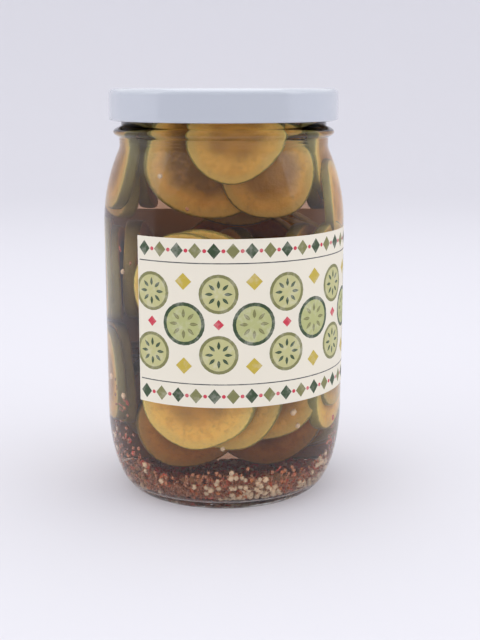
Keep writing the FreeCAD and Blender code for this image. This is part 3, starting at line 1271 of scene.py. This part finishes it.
class JAR_OT_print(bpy.types.Operator):
    """Print the label: diamond borders round an even repeat of cut rounds, and an empty frame"""

    bl_idname = "jar.make_print"
    bl_label = "Label print"

    def execute(self, context):
        label = context.scene.jar_label
        sheet = Print(label)
        self.borders(sheet)
        self.field(sheet)
        self.front(sheet)
        self.far_side(sheet)
        piece = new_piece("label_print", sheet.vertices, sheet.faces, ink_material(), smooth=False)
        layer = piece.data.color_attributes.new("ink", "FLOAT_COLOR", "POINT")
        layer.data.foreach_set("color", [c for ink in sheet.inks for c in ink])
        join_frame(piece, "label_paper")
        return {"FINISHED"}

    def borders(self, sheet):
        """A row of diamonds with dots between them, along the top and along the bottom."""
        label = sheet.label
        count = round(sheet.length / DIAMOND_PITCH)
        pitch = sheet.length / count
        for v in (DIAMOND_ROW, sheet.height - DIAMOND_ROW):
            for i in range(count):
                ink = label.olive if i % 2 else label.dark_green
                sheet.diamond(pitch * (i + 0.5), v, 2.5, 2.9, ink)
                if i:
                    sheet.round(pitch * i, v, 0.75, label.red)
        for v in (8.8, sheet.height - 9.2):
            sheet.bar(1, v, sheet.length - 2, 0.4, label.slate)

    def field(self, sheet):
        """Cut green rounds in an even repeat, with yellow and red diamonds between them."""
        label = sheet.label
        middle = sheet.height / 2
        columns = round(sheet.length / FIELD_PITCH)
        pitch = sheet.length / columns
        for i in range(columns):
            u = pitch * (i + 0.5)
            if self.taken(u):
                continue
            if i % 2:
                sheet.rosette(u, middle, 8.2, label.dark_green, label.pale_green, label.olive)
                for v in (middle - 16, middle + 16):
                    sheet.diamond(u, v, 3.2, 3.2, label.yellow)
            else:
                for v in (middle - 11.5, middle + 11.5):
                    sheet.rosette(u, v, 7.4, label.olive, label.straw, label.dark_green)
                sheet.diamond(u, middle, 2.0, 2.0, label.red)

    def taken(self, u):
        """Whether a column of the field would stand with its middle in the frame or the far panel."""
        return any(low < u < high for low, high in (FRAME_REACH, FAR_REACH))

    def front(self, sheet):
        """An empty double-ruled frame: inks laid one inside the other."""
        label = sheet.label
        low, high = FRAME_REACH
        inks = ((0.0, label.slate), (0.6, label.paper), (1.8, label.teal), (2.3, label.paper))
        for layer, (edge, ink) in enumerate(inks, start=1):
            width, height = high - low - 2 * edge, BOX_HEIGHT - 2 * edge
            sheet.bar(low + edge, BOX_FOOT + edge, width, height, ink, layer)

    def far_side(self, sheet):
        """A block of plain upright bars beside a panel of ruled bars."""
        low, high = FAR_REACH
        sheet.panel(low + 2, BOX_FOOT, 24, BOX_HEIGHT, 1.3)
        place = low + 29
        while place < high - 3:
            width = sheet.random.uniform(0.25, 1.1)
            sheet.bar(place, BOX_FOOT + 2, width, BOX_HEIGHT - 4, sheet.label.slate)
            place += width + sheet.random.uniform(0.4, 1.0)


# --- stage -----------------------------------------------------------------

LEVEL_RADIUS = 1.2
BACKDROP_CURVE = 0.9


class JAR_OT_stage(bpy.types.Operator):
    """Lay the pale floor and backdrop, and set the lamps and the camera"""

    bl_idname = "jar.make_stage"
    bl_label = "Stage"

    def execute(self, context):
        stage = context.scene.jar_stage
        self.make_floor(stage)
        self.make_card()
        self.make_world(context, stage)
        self.make_lamps()
        self.make_camera(context, stage)
        return {"FINISHED"}

    def make_floor(self, stage):
        """A round floor that curves up into a wall on every side."""
        outline = [(0, 0), (0.25, 0), (0.6, 0), (LEVEL_RADIUS, 0)]
        middle = (LEVEL_RADIUS, BACKDROP_CURVE)
        outline += arc(middle, BACKDROP_CURVE, -math.pi / 2, 0, 16)[1:]
        vertices, faces = lathe(outline, 96)
        floor = new_piece("floor", vertices, faces, floor_material(stage))
        floor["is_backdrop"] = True

    def make_card(self):
        """A dark curved card in front, seen only in the glass, that keeps its face clear."""
        radius, foot, top, half = 0.30, 0.002, 0.42, math.radians(62)
        steps = 24
        vertices = []
        for i in range(steps + 1):
            a = -half + 2 * half * i / steps
            vertices += [(radius * math.sin(a), -radius * math.cos(a), z) for z in (foot, top)]
        faces = [(2 * i, 2 * i + 2, 2 * i + 3, 2 * i + 1) for i in range(steps)]
        shader = Shader("Dark card")
        black = (0.05, 0.05, 0.055, 1.0)
        shader.principled({"Base Color": black, "Roughness": 0.9, "Specular IOR Level": 0.0})
        card = new_piece("dark_card", vertices, faces, shader.done())
        for ray in ("camera", "diffuse", "transmission", "volume_scatter", "shadow"):
            setattr(card, f"visible_{ray}", False)
        card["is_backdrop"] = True

    def make_world(self, context, stage):
        world = bpy.data.worlds.new("Soft studio")
        context.scene.world = world
        world.use_nodes = True
        background = world.node_tree.nodes["Background"]
        background.inputs["Color"].default_value = (0.97, 0.97, 1.0, 1.0)
        background.inputs["Strength"].default_value = stage.world_strength

    def make_lamps(self):
        for name, place, size, power in (
            ("top_softbox", (0.0, 0.1, 1.2), 1.2, 3.8),
            ("left_softbox", (-1.0, -0.5, 0.8), 0.9, 1.4),
            ("right_softbox", (1.0, -0.4, 0.8), 0.9, 1.4),
        ):
            data = bpy.data.lights.new(name, "AREA")
            data.shape = "DISK"
            data.size = size
            data.energy = power
            lamp = bpy.data.objects.new(name, data)
            lamp.location = place
            aim = Vector((0, 0, 0.08)) - Vector(place)
            lamp.rotation_euler = aim.to_track_quat("-Z", "Y").to_euler()
            bpy.context.collection.objects.link(lamp)

    def make_camera(self, context, stage):
        data = bpy.data.cameras.new("camera")
        data.lens = stage.camera_lens
        data.clip_start = 0.01
        camera = bpy.data.objects.new("camera", data)
        camera.location = (0, -stage.camera_distance, stage.camera_height)
        camera.rotation_euler = Euler((math.pi / 2 - stage.camera_pitch, 0, -stage.camera_turn))
        context.collection.objects.link(camera)
        context.scene.camera = camera
        context.scene.view_settings.view_transform = "Standard"


# --- panel and registration --------------------------------------------------

OPERATORS = (
    JAR_OT_stage,
    JAR_OT_glass,
    JAR_OT_lid,
    JAR_OT_brine,
    JAR_OT_slices,
    JAR_OT_spices,
    JAR_OT_label,
    JAR_OT_print,
)


class JAR_PT_pieces(bpy.types.Panel):
    """Lists what the jar is made of"""

    bl_label = "Pickle jar"
    bl_idname = "JAR_PT_pieces"
    bl_space_type = "VIEW_3D"
    bl_region_type = "UI"
    bl_category = "Jar"

    def draw(self, context):
        for operator in OPERATORS:
            self.layout.operator(operator.bl_idname)


SETTINGS = {
    "jar_glass": JarGlassSettings,
    "jar_lid": JarLidSettings,
    "jar_content": JarContentSettings,
    "jar_label": JarLabelSettings,
    "jar_stage": JarStageSettings,
}


def register():
    for cls in (*SETTINGS.values(), *OPERATORS, JAR_PT_pieces):
        bpy.utils.register_class(cls)
    for name, cls in SETTINGS.items():
        setattr(bpy.types.Scene, name, bpy.props.PointerProperty(type=cls))


def unregister():
    for name in SETTINGS:
        delattr(bpy.types.Scene, name)
    for cls in (JAR_PT_pieces, *reversed(OPERATORS), *reversed(SETTINGS.values())):
        bpy.utils.unregister_class(cls)


def main():
    register()
    for operator in OPERATORS:
        group, name = operator.bl_idname.split(".")
        getattr(getattr(bpy.ops, group), name)()
    sizes = {"cad": CAD_BOUNDS, "visual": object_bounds()}
    {key: [list(corner) for corner in box] for key, box in sizes.items()}


if __name__ == "__main__":
    main()
